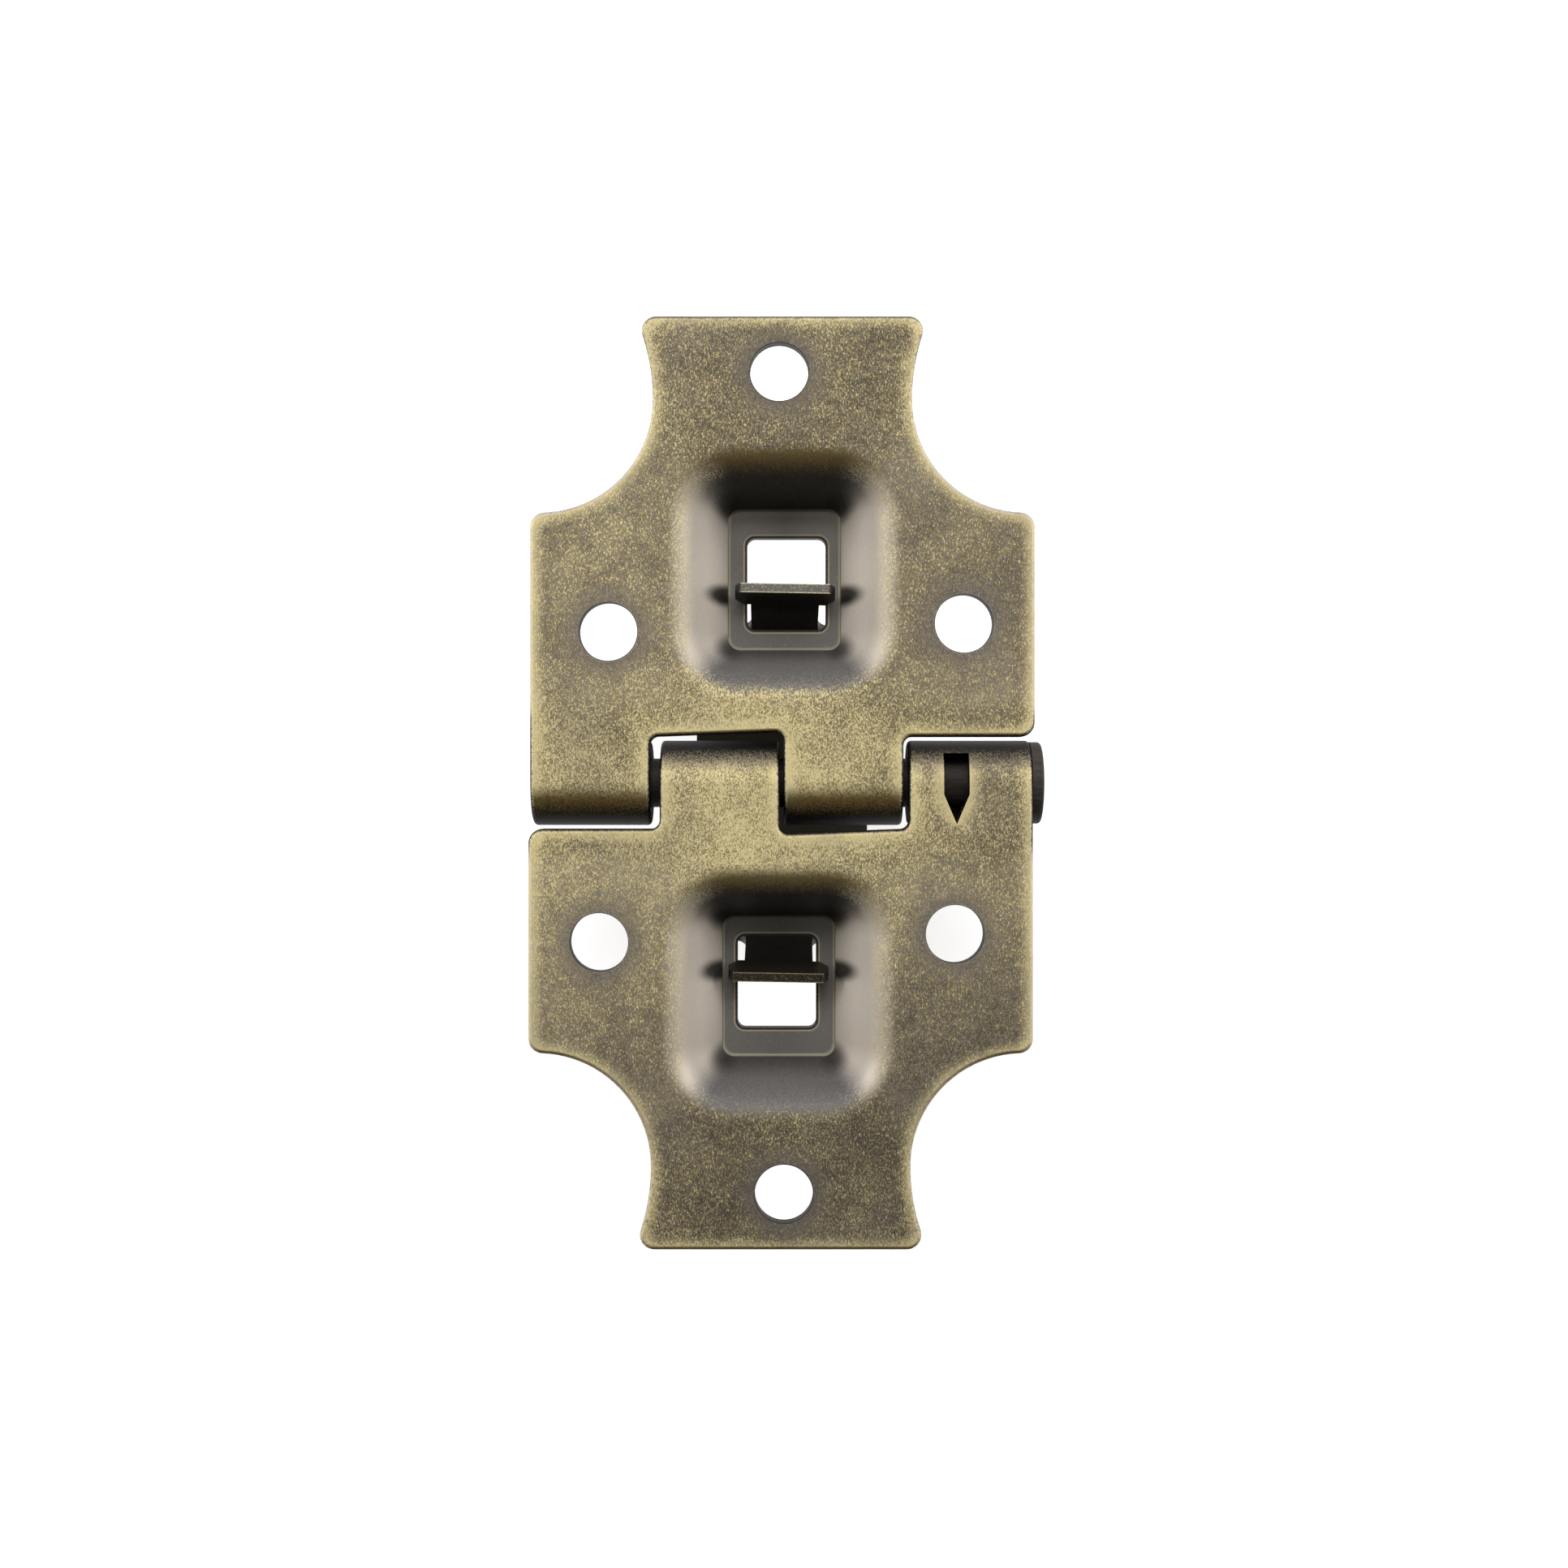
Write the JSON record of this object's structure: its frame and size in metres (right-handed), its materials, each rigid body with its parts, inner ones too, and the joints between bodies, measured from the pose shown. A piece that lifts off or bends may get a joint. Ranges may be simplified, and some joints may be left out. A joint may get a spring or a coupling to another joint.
{
  "type": "lid stop hinge",
  "caption": "Surface-mounted case hinge with rolled knuckles, drawn pockets and a bowed stop arm that halts the lid at a right angle.",
  "frame": {"origin": "at the centre of the base leaf's tab hole, on the leaf's back face", "axes": "+X along the pin towards its head, +Y from the base leaf towards the lid leaf, +Z out of the front face"},
  "size_m": [0.0354, 0.064, 0.0188],
  "materials": {
    "plated_leaf": "sheet steel with an antique brass plating, brushed back along the edges",
    "plated_pin": "steel wire with a dark antique plating",
    "plated_arm": "strip steel with a near black plating, worn to brass on its cut ends"
  },
  "bodies": {
    "base": {"base_leaf": "plated_leaf"},
    "lid": {"lid_leaf": "plated_leaf"},
    "pin": {"hinge_pin": "plated_pin"},
    "arm": {"stop_arm": "plated_arm"}
  },
  "joints": [
    {"name": "arm_slide", "type": "slide", "parent": "pin", "child": "arm", "axis": [0, 0, 1], "range_m": [0, 0.01209]},
    {"name": "lid_turn", "type": "hinge", "parent": "base", "child": "lid", "pos_m": [-0.0001, 0.02814, -0.00175], "axis": [1, 0, 0], "range_deg": [0, 90]},
    {"name": "pin_turn", "type": "hinge", "parent": "base", "child": "pin", "pos_m": [-0.0001, 0.02814, -0.00175], "axis": [1, 0, 0], "range_deg": [0, 45]}
  ],
  "couplings": [
    {"joint": "lid_turn", "follows": "arm_slide", "rad_per_m": 129.9},
    {"joint": "pin_turn", "follows": "arm_slide", "rad_per_m": 64.95}
  ]
}
